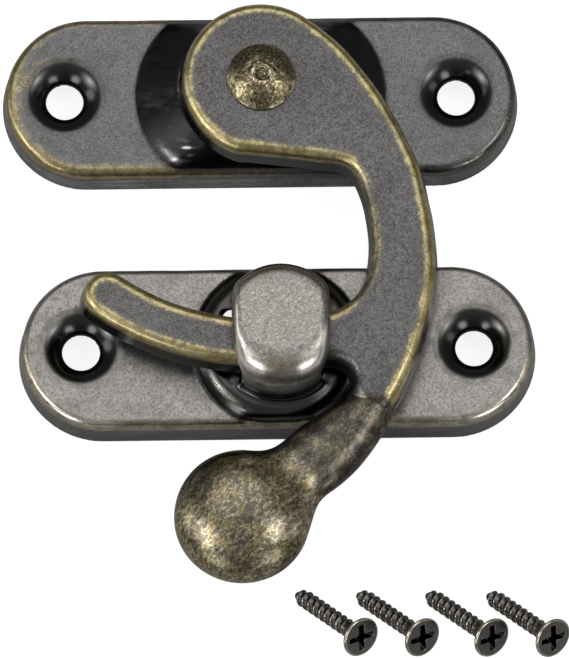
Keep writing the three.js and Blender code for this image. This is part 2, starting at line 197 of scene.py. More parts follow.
def bulge(V, Q, N, radius, h):
    """How far each point stands proud of its own surroundings, in mm: edges positive, corners hollow negative."""
    i, j = Q.ravel(), np.roll(Q, -1, axis=1).ravel()
    n = len(V)
    deg = (np.bincount(i, minlength=n) + np.bincount(j, minlength=n)).astype(float)
    deg[deg == 0] = 1
    S = V.copy()
    for _ in range(max(2, int((radius / h) ** 2))):
        acc = np.stack([np.bincount(i, S[j, c], n) + np.bincount(j, S[i, c], n) for c in range(3)], 1)
        S = 0.4 * S + 0.6 * acc / deg[:, None]
    return ((V - S) * N).sum(1)

def piece(name, V, Q, body, node, mat, attrs):
    me = bpy.data.meshes.new(name)
    me.from_pydata(((V + DATUM) * MM).tolist(), [], Q if isinstance(Q, list) else Q.tolist())
    me.polygons.foreach_set("use_smooth", np.ones(len(me.polygons), bool))
    for k, a in attrs.items():
        me.attributes.new(k, "FLOAT", "POINT").data.foreach_set("value", np.clip(a, 0, 1.5).astype(np.float32))
    me.update()
    me.materials.append(mat)
    ob = bpy.data.objects.new(name, me)
    bpy.context.scene.collection.objects.link(ob)
    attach(ob, body)
    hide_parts(node)
    return ob

# --------------------------------------------------------------- materials
class Tree:
    def __init__(self, name):
        self.mat = bpy.data.materials.new(name)
        self.mat.use_nodes = True
        self.t = self.mat.node_tree
        self.t.nodes.clear()
        co = self.t.nodes.new("ShaderNodeTexCoord")
        mp = self.t.nodes.new("ShaderNodeVectorMath")
        mp.operation = "SCALE"
        mp.inputs["Scale"].default_value = 1000.0
        self.t.links.new(co.outputs["Object"], mp.inputs[0])
        self.co = mp.outputs[0]

    def put(self, sock, v):
        if isinstance(v, bpy.types.NodeSocket):
            self.t.links.new(v, sock)
        elif isinstance(v, (tuple, list)):
            sock.default_value = tuple(v) + (1.0,) * (4 - len(v)) if sock.type == "RGBA" else tuple(v)
        else:
            sock.default_value = v

    def noise(self, per_mm, detail=3, rough=0.55, warp=0.0, shift=(0, 0, 0), stretch=None, turn=0.0):
        m = self.t.nodes.new("ShaderNodeMapping")
        co = self.co
        if turn:
            m0 = self.t.nodes.new("ShaderNodeMapping")
            self.t.links.new(co, m0.inputs["Vector"])
            m0.inputs["Rotation"].default_value = (0, 0, -turn)
            co = m0.outputs[0]
        self.t.links.new(co, m.inputs["Vector"])
        m.inputs["Location"].default_value = shift
        if stretch:
            m.inputs["Scale"].default_value = stretch
        n = self.t.nodes.new("ShaderNodeTexNoise")
        self.t.links.new(m.outputs[0], n.inputs["Vector"])
        n.inputs["Scale"].default_value = per_mm
        n.inputs["Detail"].default_value = detail
        n.inputs["Roughness"].default_value = rough
        n.inputs["Distortion"].default_value = warp
        return n.outputs["Fac"]

    def ramp(self, v, a, b, lo=0.0, hi=1.0):
        n = self.t.nodes.new("ShaderNodeMapRange")
        n.interpolation_type = "SMOOTHSTEP"
        self.put(n.inputs["Value"], v)
        self.put(n.inputs["From Min"], a)
        self.put(n.inputs["From Max"], b)
        self.put(n.inputs["To Min"], lo)
        self.put(n.inputs["To Max"], hi)
        return n.outputs[0]

    def math(self, op, a, b=0.0, clamp=False):
        n = self.t.nodes.new("ShaderNodeMath")
        n.operation = op
        n.use_clamp = clamp
        self.put(n.inputs[0], a)
        self.put(n.inputs[1], b)
        return n.outputs[0]

    def mix(self, f, a, b, blend="MIX"):
        n = self.t.nodes.new("ShaderNodeMix")
        n.data_type = "RGBA"
        n.blend_type = blend
        self.put(n.inputs[0], f)
        self.put(n.inputs[6], a)
        self.put(n.inputs[7], b)
        return n.outputs[2]

    def attr(self, name):
        n = self.t.nodes.new("ShaderNodeAttribute")
        n.attribute_name = name
        return n.outputs["Fac"]

    def finish(self, color, rough, height, bump=0.25, dist_mm=0.02, metallic=1.0, coat=0.0, coat_rough=0.25):
        b = self.t.nodes.new("ShaderNodeBump")
        b.inputs["Strength"].default_value = bump
        b.inputs["Distance"].default_value = dist_mm * MM
        self.put(b.inputs["Height"], height)
        p = self.t.nodes.new("ShaderNodeBsdfPrincipled")
        self.put(p.inputs["Base Color"], color)
        self.put(p.inputs["Roughness"], rough)
        self.put(p.inputs["Metallic"], metallic)
        self.put(p.inputs["Coat Weight"], coat)
        self.put(p.inputs["Coat Roughness"], coat_rough)
        p.inputs["Coat IOR"].default_value = 1.9
        self.t.links.new(b.outputs[0], p.inputs["Normal"])
        o = self.t.nodes.new("ShaderNodeOutputMaterial")
        self.t.links.new(p.outputs[0], o.inputs["Surface"])
        return self.mat

def antique(name, face, face2, pit, pale, worn, worn_hi, rough, rim=(0.4, 0.75), speck=0.5, light=0.5,
            black=(0.02, 0.02, 0.021), black_rough=0.2, bump=0.25, grain=5.5, lacquer=0.35, zone=None, scratch=0.25, painted_highlight_color=(0.86, 0.82, 0.74), buff=-0.13):
    """Aged plating: a clouded, speckled face, brass rubbed bare on the edges, black and glossy in the hollows.
    The mesh carries five masks: rubbed edges with some painted sheen, grime in hollows with some painted shade, the
    dark finish with some painted shade, a second-finish zone and painted highlights.
    `zone` is a second finish for part of the piece, as (face, face2, pit, pale, rough, speck, light, scale, lacquer)."""
    t = Tree(name)
    big = t.noise(0.3, 3, 0.5, 0.6)
    mid = t.noise(1.4, 4, 0.6, 0.4, (3, 1, 7))
    fine = t.noise(grain, 3, 0.6, 0.2, (9, 4, 2))
    tiny = t.noise(grain * 1.9, 3, 0.6, 0.0, (5, 8, 1))
    wear_and_sheen, hollow_grime_and_shade, dark, painted_highlight = t.attr("wear_and_sheen"), t.attr("hollow_grime_and_shade"), t.attr("dark"), t.attr("painted_highlight")
    base = t.mix(t.ramp(t.math("ADD", t.math("MULTIPLY", big, 0.6), t.math("MULTIPLY", mid, 0.4)), 0.4, 0.62), face, face2)
    base = t.mix(t.math("MULTIPLY", t.ramp(fine, 0.42, 0.63), speck), base, pit)
    base = t.mix(t.math("MULTIPLY", t.ramp(tiny, 0.45, 0.66), light), base, pale)
    rgh = t.math("ADD", rough, t.math("MULTIPLY", t.math("SUBTRACT", fine, 0.5), 0.35))
    if zone:
        z = t.attr("zone")
        zm = t.noise(zone[7] * 0.4, 4, 0.6, 0.5, (1, 6, 4), (0.8, 1.2, 1.0), 0.9)
        zf = t.noise(zone[7], 5, 0.7, 0.4, (2, 7, 9), (0.78, 1.25, 1.0), 0.7)
        zg = t.noise(zone[7] * 1.7, 4, 0.7, 0.2, (6, 3, 8))
        zs = t.math("ADD", t.math("MULTIPLY", zm, 0.5), t.math("MULTIPLY", zf, 0.5))
        b2 = t.mix(t.ramp(zs, 0.4, 0.62), zone[0], zone[1])
        b2 = t.mix(t.math("MULTIPLY", t.ramp(zg, 0.48, 0.66), zone[5]), b2, zone[2])
        b2 = t.mix(t.math("MULTIPLY", t.ramp(t.math("ADD", t.math("MULTIPLY", tiny, 0.4), t.math("MULTIPLY", zf, 0.6)), 0.49, 0.62), zone[6]), b2, zone[3])
        base = t.mix(z, base, b2)
        r2 = t.math("ADD", zone[4], t.math("MULTIPLY", t.math("SUBTRACT", zf, 0.5), 0.3))
        rgh = t.math("ADD", t.math("MULTIPLY", rgh, t.math("SUBTRACT", 1.0, z)), t.math("MULTIPLY", r2, z))
    # hollows and flanks keep the black finish that handling rubs off the faces; the same mask also carries painted
    # shade on side walls and north-facing edges
    ragged_dark = t.ramp(t.math("ADD", dark, t.math("MULTIPLY", t.math("SUBTRACT", mid, 0.5), 0.5)), 0.05, 0.95)
    base = t.mix(ragged_dark, base, black)
    rgh = t.math("ADD", t.math("MULTIPLY", rgh, t.math("SUBTRACT", 1.0, ragged_dark)), t.math("MULTIPLY", ragged_dark, black_rough))
    ragged = t.math("ADD", wear_and_sheen, t.math("MULTIPLY", t.math("MINIMUM", t.math("MULTIPLY", wear_and_sheen, 3.0), 1.0),
                                        t.math("ADD", t.math("MULTIPLY", t.math("SUBTRACT", mid, 0.5), 0.7),
                                               t.math("MULTIPLY", t.math("SUBTRACT", fine, 0.5), 1.35))))
    edge = t.ramp(ragged, rim[0], rim[1])
    rubbed = t.mix(t.math("ADD", t.math("MULTIPLY", t.ramp(mid, 0.4, 0.62), 0.6), t.math("MULTIPLY", t.ramp(tiny, 0.4, 0.62), 0.35)), worn, worn_hi)
    rubbed = t.mix(t.math("MULTIPLY", t.ramp(mid, 0.52, 0.66), 0.5), rubbed, t.mix(0.5, pit, worn))
    base = t.mix(edge, base, rubbed)
    # painted highlights: where the mesh marks one, the colour is lifted towards a pale highlight colour
    painted_highlight_mix = t.math("MULTIPLY", painted_highlight, t.ramp(t.math("ADD", painted_highlight, t.math("ADD", t.math("MULTIPLY", t.math("SUBTRACT", mid, 0.5), 0.8), t.math("MULTIPLY", t.math("SUBTRACT", tiny, 0.5), 1.4))), 0.15, 0.85), clamp=True)
    base = t.mix(painted_highlight_mix, base, painted_highlight_color)
    # darkened towards near-black by the hollows mask: grime in the hollows, and painted shade where the pieces set it
    # to dull a reflection
    grime_and_shade_mix = t.ramp(t.math("ADD", hollow_grime_and_shade, t.math("MULTIPLY", t.math("SUBTRACT", mid, 0.5), 0.4)), 0.25, 0.95, 0.0, 0.85)
    base = t.mix(grime_and_shade_mix, base, (0.006, 0.006, 0.006))
    rgh = t.math("ADD", rgh, t.math("MULTIPLY", painted_highlight_mix, buff))
    rgh = t.math("SUBTRACT", rgh, t.math("MULTIPLY", edge, 0.08))
    # long faint rub marks lie over the grain
    mark = t.math("MULTIPLY", t.ramp(t.noise(0.9, 2, 0.5, 0.0, (2, 2, 5), (0.22, 9.0, 1.0), 0.55), 0.66, 0.72), scratch)
    base = t.mix(t.math("MULTIPLY", mark, t.math("SUBTRACT", 1.0, ragged_dark)), base, pale)
    height = t.math("SUBTRACT", t.math("ADD", t.math("MULTIPLY", fine, 0.7), t.math("MULTIPLY", tiny, 0.5)), t.math("MULTIPLY", mark, 0.3))
    height = t.math("MULTIPLY", height, t.math("SUBTRACT", 1.0, t.math("MAXIMUM", t.math("MULTIPLY", ragged_dark, 0.75), t.math("MULTIPLY", edge, 0.55))))
    film = t.math("MULTIPLY", t.math("MULTIPLY", ragged_dark, lacquer), t.math("SUBTRACT", 1.0, grime_and_shade_mix))
    rgh = t.math("ADD", rgh, t.math("MULTIPLY", grime_and_shade_mix, 0.22))
    if zone:
        film = t.math("MAXIMUM", film, t.math("MULTIPLY", t.math("MULTIPLY", z, zone[8]), t.math("SUBTRACT", 1.0, grime_and_shade_mix)))
    return t.finish(base, t.math("MAXIMUM", rgh, 0.12), height, bump=bump, coat=film, coat_rough=0.2)

M_PIVOT = antique("pivot_plate_patina", (0.172, 0.172, 0.172), (0.132, 0.132, 0.133), (0.075, 0.075, 0.076), (0.3, 0.3, 0.296),
                  (0.27, 0.215, 0.09), (0.58, 0.49, 0.3), 0.4, rim=(0.28, 0.85), speck=0.6, light=0.5,
                  black=(0.022, 0.022, 0.023), black_rough=0.17, bump=0.26, grain=7.5, lacquer=0.5, painted_highlight_color=(0.6, 0.6, 0.57), buff=0.12)
M_KEEPER = antique("keeper_plate_patina", (0.335, 0.322, 0.306), (0.26, 0.248, 0.234), (0.15, 0.14, 0.126), (0.52, 0.505, 0.48),
                   (0.27, 0.215, 0.145), (0.7, 0.63, 0.5), 0.38, rim=(0.36, 0.82), speck=0.6, light=0.55, bump=0.28, grain=7.5,
                   black=(0.026, 0.024, 0.022), black_rough=0.17, scratch=0.5, lacquer=0.5, painted_highlight_color=(1.0, 0.97, 0.9),
                   zone=((0.35, 0.33, 0.306), (0.27, 0.252, 0.23), (0.12, 0.11, 0.095), (0.66, 0.63, 0.58), 0.38, 0.85, 0.9, 5.0, 0.0))
M_ARM = antique("arm_patina", (0.142, 0.138, 0.136), (0.104, 0.1, 0.098), (0.055, 0.053, 0.052), (0.29, 0.28, 0.272),
                (0.34, 0.275, 0.11), (0.76, 0.66, 0.38), 0.41, rim=(0.3, 0.95), speck=0.6, light=0.5, bump=0.3, grain=6.5,
                black=(0.022, 0.021, 0.02), black_rough=0.24, scratch=0.3,
                zone=((0.14, 0.12, 0.085), (0.4, 0.31, 0.115), (0.035, 0.028, 0.02), (0.8, 0.75, 0.62), 0.29, 0.7, 0.78, 4.6, 0.25))
M_RIVET = antique("rivet_brass_aged", (0.15, 0.123, 0.073), (0.28, 0.23, 0.135), (0.03, 0.026, 0.018), (0.58, 0.5, 0.3),
                  (0.48, 0.4, 0.22), (0.9, 0.83, 0.65), 0.33, rim=(0.45, 0.8), speck=0.85, light=0.7, bump=0.4, grain=4.2)
M_SCREW = antique("screw_bronze_aged", (0.16, 0.15, 0.146), (0.2, 0.188, 0.182), (0.075, 0.07, 0.066), (0.2, 0.188, 0.18),
                  (0.42, 0.39, 0.31), (0.72, 0.68, 0.56), 0.27, rim=(0.35, 0.8), speck=0.35, light=0.3,
                  black=(0.012, 0.012, 0.012), bump=0.1, grain=7.0, lacquer=0.2, scratch=0.0)

# ------------------------------------------------------------ plate fields
H_PLATE = 0.1
LEN, WID, R_END = 28.0, 9.2, 4.6
HOLE_X = 10.63

def stadium(x, y, L=LEN, W=WID):
    return np.hypot(np.maximum(np.abs(x) - (L - W) / 2, 0), y) - W / 2

def with_slope(height, x, y, e=0.05):
    z = height(x, y)
    gx = (height(x + e, y) - height(x - e, y)) / (2 * e)
    gy = (height(x, y + e) - height(x, y - e)) / (2 * e)
    return z, 1 / np.sqrt(1 + gx * gx + gy * gy)

def dimples(z, x, y, face, cx):
    for s in (-1, 1):
        r = np.hypot(x - cx - s * HOLE_X, y)
        z = smin(z, face + 0.291 - 1.0625 * np.exp((1.0 - r) / 0.85) + 3.0 * np.maximum(r - 2.25, 0), 0.16)
    return z

def plate(x, y, z, height, face, cx, edge_r, lean):
    """A pressed plate: the sheet follows `height`, its walls lean in, and it is hollow behind."""
    zt, nz = with_slope(height, x, y)
    top = (z - zt) * nz
    side = stadium(x - cx, y) + lean * z / face
    out = round_and(side, top, edge_r)
    out = smax(out, -z, 0.12)
    rh = np.minimum(np.hypot(x - cx - HOLE_X, y), np.hypot(x - cx + HOLE_X, y))
    sheet = 0.32 + 0.53 * sstep(1.05, 2.5, rh)
    inner = smax(top + sheet, side + 0.88, 0.5)
    f = smax(out, -inner, 0.16)
    return smax(f, 1.015 - rh, 0.12), side

# Pivot plate: a conical boss, cut along its long sides by two steep flanks.
P_FACE = 2.3
def pivot_height(x, y):
    r = np.hypot(x, y)
    r = np.hypot(np.maximum(np.abs(x) - 1.3, 0), y) + 1.3
    cone = P_FACE + (6.85 - r) * 0.56
    cone = smin(cone, 3.65 + 0 * r, 0.16)
    ay = np.abs(y)
    flank = 2.05 + (4.45 - ay) * 1.12
    boss = smin(cone, flank, 0.3)
    z = smax(P_FACE + 0 * r, boss, 0.12)
    return dimples(z, x, y, P_FACE, 0.0)

def pivot_field(P):
    x, y, z = P.T
    f, side = plate(x, y, z, pivot_height, P_FACE, 0.0, 0.42, 0.2)
    return smax(f, 1.14 - np.hypot(x, y), 0.1)

# Keeper plate: a bell-shaped boss, and the hood that bridges the tongue's passage.
K_X, K_Y, K_FACE = 0.7, -14.2, 2.45
def keeper_height(x, y):
    r = np.hypot(x, y)
    bell = K_FACE + (4.62 - r) * 1.0
    bell = smin(bell, 3.14 + 0 * r, 0.45)
    z = smax(K_FACE + 0 * r, bell, 0.14)
    return dimples(z, x, y, K_FACE, 0.0)

def keeper_field(P):
    x, y, z = P[:, 0] - K_X, P[:, 1] - K_Y, P[:, 2]
    f, side = plate(x, y, z, keeper_height, K_FACE, 0.0, 0.42, 0.2)
    r = np.hypot(x, y)
    xh, yh = x - 0.14, y - 0.12
    body = smax(z - 7.4, np.hypot(xh, yh) - 3.34, 1.15 + 0.75 * sstep(0.0, -2.0, yh))
    body = smax(body, np.abs(xh) - 2.67, 0.45 + 0.25 * sstep(2.2, 0.0, yh))
    body = smax(body, 2.6 - z, 0.1)
    f = smin(f, body, 0.4)
    slot = smax(np.abs(y) - 2.3, z - 6.05, 0.7)
    slot = smax(slot, 3.22 - z, 0.25)
    slot = smax(slot, r - 4.1, 0.1)
    plug = smax(smax(r - 4.3, 1.3 - z, 0.3), z - 2.6, 0.1)
    f = smin(f, smax(plug, side + 0.3, 0.2), 0.15)
    f = smax(f, -slot, 0.2)
    win = smax(np.abs(x + 0.28) - 2.82, np.abs(y - 0.45 - 0.3 * np.maximum(3.14 - z, 0)) - 1.38, 0.3)
    win = smax(win, r - 3.55, 0.2)
    win = smax(win, z - 3.7, 0.1)
    return smax(f, -win, 0.15)

# ---------------------------------------------------------------- arm field
rad = math.pi / 180
def arc(radius, a0, a1, step=2.0):
    a = np.arange(a0, a1 + (1e-6 if a1 > a0 else -1e-6), step if a1 > a0 else -step) * rad
    return np.stack([radius * np.sin(a), -radius * np.cos(a)], 1)

head = np.array([[4.28 * math.cos(a * rad), 4.28 * math.sin(a * rad)] for a in range(58, 256, 4)])
inner_edge = spline([(-1.02, -4.07), (0.04, -4.2), (1.05, -4.32), (2.06, -4.44), (3.06, -4.6), (3.9, -4.68), (4.5, -4.86),
                     (4.94, -5.28), (5.2, -5.75), (5.42, -6.35), (5.6, -7.0), (5.78, -8.1), (5.85, -9.0), (5.83, -9.7),
                     (5.73, -10.45), (5.51, -11.26), (5.11, -11.98), (4.45, -12.66), (3.6, -13.11)], 5)
T_IN, T_OUT, T_TIP = 13.45, 16.0, 35.3
tip = []
for a in np.linspace(0, 180, 19):
    b = (90 - T_TIP + a) * rad
    tip.append((-14.725 * math.sin(T_TIP * rad) + 1.275 * math.cos(b), -14.725 * math.cos(T_TIP * rad) + 1.275 * math.sin(b)))
notch = spline([(3.3, -15.66), (3.95, -15.78), (4.5, -16.2), (4.78, -16.85), (4.72, -17.45), (5.0, -17.95), (5.7, -18.22), (6.4, -18.3), (6.85, -18.1)], 6)
outer_edge = spline([(6.85, -18.1), (7.2, -17.5), (7.66, -16.54), (8.11, -15.51), (8.57, -14.04), (9.0, -12.37),
                     (9.2, -10.8), (9.2, -9.75), (9.12, -8.71), (9.0, -7.66), (8.83, -6.82), (8.69, -6.08), (8.5, -5.24),
                     (8.21, -4.39), (7.83, -3.49), (7.43, -2.65), (6.94, -1.74), (6.36, -0.74), (5.76, 0.12), (5.17, 0.91),
                     (4.58, 1.65), (3.85, 2.36), (3.18, 2.94)], 5)
flat_outline = even(np.vstack([head, inner_edge, arc(T_IN, 12.0, -T_TIP), np.array(tip), arc(T_OUT, -T_TIP, 11.5), notch, outer_edge]))
stem_outline = even(np.vstack([
    spline([(7.75, -16.3), (7.4, -17.4), (6.97, -18.4), (6.42, -19.5), (5.91, -20.32), (5.4, -21.03), (4.78, -21.77),
            (4.06, -22.44), (3.35, -22.98), (2.6, -23.5), (1.2, -24.6), (-0.4, -24.2), (-0.6, -22.6), (0.0, -21.2),
            (0.62, -20.4), (1.28, -19.76), (1.9, -19.25), (2.82, -18.64), (3.7, -18.0), (4.35, -17.45), (4.85, -16.6),
            (5.5, -15.9), (6.7, -15.6)], 6)]))
flat_at = polygon_field(flat_outline)
stem_at = polygon_field(stem_outline)
KNOB = (-1.4, -24.3, 4.45, 3.68, 2.1)

def arm_field(P):
    x, y, z = P.T
    d = flat_at(x, y) + 0.155 * (z - 5.15)
    f = round_and(d, z - 5.62, 0.42)
    f = round_and(f, 3.8 - z, 0.2)
    s = stem_at(x, y)
    w, hh = 1.75, 1.16
    q = np.sqrt((np.maximum(w + s, 0) / w) ** 2 + ((z - 4.38) / hh) ** 2)
    stem = (q - 1) * 1.3
    kx, ky, kz, kr, kh = KNOB
    q = np.sqrt(((x - kx) ** 2 + (y - ky) ** 2) / kr ** 2 + ((z - kz) / kh) ** 2)
    ball = (q - 1) * 2.6
    tail = smin(stem, ball, 0.9)
    f = smin(f, tail, 0.26)
    return smax(f, 1.2 - np.hypot(x, y), 0.12)

# -------------------------------------------------------------- build pieces
def build(field, lo, hi, h, rim_mm, bulge_scale):
    V, Q, N = skin(field, lo, hi, h)
    b = bulge(V, Q, N, rim_mm, h)
    wear_and_sheen = np.clip(b / bulge_scale, 0, 1.4)
    hollow_grime_and_shade = np.clip(-b / bulge_scale, 0, 1.4)
    return V, Q, N, wear_and_sheen, hollow_grime_and_shade

def cast(V, N, amount, seed):
    """A casting is never dead flat: long shallow waves, left out of the back face."""
    keep = sstep(0.02, 0.4, V[:, 2])
    return V + N * (amount * keep * (0.7 * waves(V, 5.0, seed) + 0.3 * waves(V, 1.6, seed + 1)))[:, None]

def holes_r(V, cx, cy):
    x, y = V[:, 0] - cx, V[:, 1] - cy
    return np.minimum(np.hypot(x - HOLE_X, y), np.hypot(x + HOLE_X, y))

# pivot plate
V, Q, N, wear_and_sheen, hollow_grime_and_shade = build(pivot_field, (-14.4, -5.0, -0.3), (14.4, 5.0, 4.1), H_PLATE, 0.42, 0.09)
d = stadium(V[:, 0], V[:, 1])
rh = holes_r(V, 0, 0)
r = np.hypot(V[:, 0], V[:, 1])
band = (0.5 * sstep(-0.62, -0.25, d) + 0.33 * sstep(-1.1, -0.4, d) + 0.24 * sstep(-1.9, -0.7, d)) * sstep(1.45, 1.85, V[:, 2]) * sstep(2.5, 2.36, V[:, 2])
# the rubbed rim is strongest to the west and weaker to the north: part wear, part painted highlight on the side the
# left lamps light
lit_side_wear = 0.3 + 0.7 * sstep(5.0, -3.0, V[:, 0])
north = 1 - 0.45 * sstep(1.0, 4.0, V[:, 1]) - 0.5 * sstep(-5.2, -4.2, V[:, 0]) * sstep(8.0, 5.0, V[:, 0]) * (np.abs(V[:, 1]) > 3.5)
off_x, off_y = V[:, 0] + HOLE_X, V[:, 1]
ring = np.exp(-((rh - 2.2) / 0.42) ** 2) * np.clip(0.3 * (off_y - 0.6 * off_x) / 2.1, 0, 0.34) * (V[:, 2] > 1.9) * (V[:, 0] < 0)
re = np.hypot(np.maximum(np.abs(V[:, 0]) - 1.3, 0), V[:, 1]) + 1.3
# painted highlights on the boss: a glint line along the plateau's edge, a blob and streaks on the south-west ramp, and
# a streak near the ramp's foot
ramp_glint = np.exp(-((re - 4.46) / 0.08) ** 2) * sstep(-0.9, 0.2, V[:, 1]) * sstep(3.2, 2.2, V[:, 1]) * (V[:, 2] > 3.3) * (V[:, 0] < 0)
ramp_streak_noise = waves(V @ np.array([[0.5, 0.5, 0], [-1.6, 1.6, 0], [0, 0, 1.0]]), 0.8, 61)
south_west = np.exp(-((V[:, 0] + 4.1) / 0.75) ** 2 - ((V[:, 1] + 3.3) / 0.8) ** 2) * (V[:, 2] > 2.4)
painted_highlight = np.clip(ramp_glint * (0.6 + 0.5 * waves(V, 0.5, 62)) + south_west * np.clip(0.24 + 0.3 * ramp_streak_noise, 0, 1)
                 + 0.36 * np.exp(-((re - 6.35) / 0.2) ** 2 - ((V[:, 1] + 3.5) / 0.8) ** 2) * (V[:, 0] < 0) * (V[:, 2] > 2.4)
                 + 0.22 * sstep(0.6, 1.4, ramp_streak_noise) * np.exp(-((V[:, 0] + 4.0) / 1.3) ** 2 - ((V[:, 1] + 2.3) / 1.4) ** 2) * (V[:, 2] > 2.4), 0, 1)
on_boss = (V[:, 2] > 2.36) * (V[:, 2] < 3.62)
# painted shade: the ramp is darkened towards near-black, most to the south and north, to dull its reflections, except
# under the painted glints
ramp_painted_shade = on_boss * np.clip(0.35 + 0.75 * sstep(0.8, -2.0, V[:, 1]) + 0.5 * sstep(3.2, 4.0, V[:, 1]) + 0.2 * ramp_streak_noise, 0, 1) * (1 - 0.8 * np.clip(painted_highlight * 1.5, 0, 1))
hollow_grime_and_shade = np.maximum(hollow_grime_and_shade * 0.6, ramp_painted_shade)
w = np.clip(1.05 * band * lit_side_wear * np.clip(north, 0.1, 1) + ring + 0.25 * wear_and_sheen * lit_side_wear, 0, 1.2)
smudge = 0.5 + 0.5 * waves(V, 1.1, 41)
dark = np.maximum(sstep(2.2, 1.75, rh) * (V[:, 2] > 0.2), sstep(2.305, 2.38, V[:, 2]) * (1 - 0.2 * sstep(3.45, 3.62, V[:, 2])))
# painted shade and painted highlight streaks along the plate's side walls
streak = 0.5 + 0.5 * waves(V * np.array([0.2, 0.2, 1.4]), 0.8, 63)
dark = np.maximum(dark, sstep(1.9, 1.4, V[:, 2]) * (rh > 2.4) * 0.45 * streak)
painted_highlight = np.maximum(painted_highlight, sstep(1.8, 1.3, V[:, 2]) * (V[:, 2] > 0.15) * (rh > 2.4) * (0.42 + 0.2 * streak))
dark = np.maximum(dark, 0.75 * sstep(2.0, 9.0, V[:, 0]) * sstep(-0.85, -0.3, d) * (0.4 + 0.6 * smudge))
dark = np.maximum(dark, 0.34 * smudge * np.exp(-((d + 1.0) / 0.45) ** 2))
dark = np.maximum(dark, 0.4 * smudge * sstep(3.0, 2.1, rh))
V = cast(V, N, 0.012, 11)
piece("pivot_plate_pressed", V, Q, "root", "pivot_plate", M_PIVOT,
      {"wear_and_sheen": w, "hollow_grime_and_shade": hollow_grime_and_shade, "dark": dark, "zone": 0 * w, "painted_highlight": painted_highlight})

# keeper plate
V, Q, N, wear_and_sheen, hollow_grime_and_shade = build(keeper_field, (K_X - 14.4, K_Y - 5.0, -0.3), (K_X + 14.4, K_Y + 5.0, 7.8), H_PLATE, 0.42, 0.09)
x, y = V[:, 0] - K_X, V[:, 1] - K_Y
d, rh, r = stadium(x, y), holes_r(V, K_X, K_Y), np.hypot(x, y)
zone = sstep(5.2, 6.4, V[:, 2]) * (0.35 + 0.65 * sstep(0.2, 0.75, N[:, 2]))
band = (0.65 * sstep(-0.75, -0.3, d) + 0.35 * sstep(-1.3, -0.5, d)) * sstep(1.5, 1.95, V[:, 2]) * sstep(2.6, 2.48, V[:, 2])
# the rubbed rim is strongest along the south and at the west end: part wear, part painted highlight on the lamp-lit
# sides
lit_side_wear = 0.42 + 0.4 * sstep(0.5, -2.5, y) + 0.15 * sstep(-6.0, -12.0, x) * sstep(2.0, -2.0, y)
top_edge = np.exp(-((N[:, 2] - 0.6) / 0.3) ** 2) * sstep(5.9, 6.4, V[:, 2]) * (0.45 + 0.55 * sstep(2.6, -0.5, y))
hood_top = sstep(5.3, 5.9, V[:, 2])
turn_in = np.exp(-((N[:, 2] - 0.88) / 0.1) ** 2) * hood_top
turn_out = np.exp(-((N[:, 2] - 0.62) / 0.3) ** 2) * hood_top
# painted highlights: cream on the hood's south corners and west side, faint elsewhere but the north, and a thin line
# along the plate's rim near its ends
painted_highlight = turn_out * np.clip(1.0 * sstep(0.6, 1.4, np.abs(x - 0.14)) * sstep(0.4, -1.2, y) + 0.75 * sstep(1.8, 2.4, 0.14 - x) * sstep(1.6, 0.6, y) + 0.3, 0, 1) * sstep(2.4, 0.4, y)
painted_highlight = np.maximum(painted_highlight, 0.75 * sstep(-0.62, -0.35, d) * sstep(-0.1, -0.22, d) * (V[:, 2] > 2.0) * (V[:, 2] < 2.5) * sstep(0.6, 1.0, N[:, 2] + 0.35) * (0.25 + 0.75 * sstep(-1.0, -3.5, y)) * sstep(7.0, 9.5, np.abs(x)))
w = np.clip(0.95 * band * lit_side_wear + 0.5 * turn_in + 0.55 * turn_out * sstep(1.0, 2.4, y) + 0.5 * turn_out * sstep(1.6, 0.6, np.abs(x - 0.14)) * (y < -1) + 0.2 * wear_and_sheen * (V[:, 2] < 4), 0, 1.3)
w = np.maximum(w, 0.5 * sstep(0.45, 0.1, N[:, 2]) * sstep(4.9, 5.6, V[:, 2]) * sstep(-1.8, -2.6, y) * (0.8 + 0.3 * waves(V, 0.6, 66)))
smudge = 0.5 + 0.5 * waves(V, 1.1, 43)
hood_wall = sstep(3.0, 3.3, V[:, 2]) * sstep(0.45, 0.1, N[:, 2])
dark = np.maximum(sstep(2.2, 1.75, rh) * (V[:, 2] > 0.2), sstep(2.455, 2.53, V[:, 2]) * sstep(4.4, 3.8, V[:, 2]))
# the hood's walls are darkened towards their foot, and the north side of its top is painted in shade
dark = np.maximum(dark, hood_wall * (0.12 + 0.5 * sstep(5.2, 3.7, V[:, 2])))
dark = np.maximum(dark, 0.5 * sstep(1.2, 3.2, y) * (V[:, 2] > 5.5))
# painted highlights: a sheen on the hood's upper south wall, and a glint on the boss's south-west shoulder
painted_highlight = np.maximum(painted_highlight, hood_wall * sstep(3.5, 4.3, V[:, 2]) * (y < 0) * np.clip(0.5 + 0.12 * waves(V, 0.7, 65), 0, 1))
lip = (r > 3.0) * (V[:, 2] > 2.7) * (V[:, 2] < 3.3) * np.exp(-((N[:, 2] - 0.84) / 0.09) ** 2)
painted_highlight = np.maximum(painted_highlight, 0.35 * lip * sstep(0.8, 0.97, -(x + 1.05 * y) / np.maximum(r, 1) / 1.45) * (y < -1))
# painted shade in the fillet at the boss's foot, to dull its reflection
hollow_grime_and_shade = np.maximum(hollow_grime_and_shade * 0.6, 0.95 * (r > 4.2) * (r < 5.2) * (rh > 2.4) * sstep(2.447, 2.46, V[:, 2]) * sstep(2.72, 2.6, V[:, 2]))
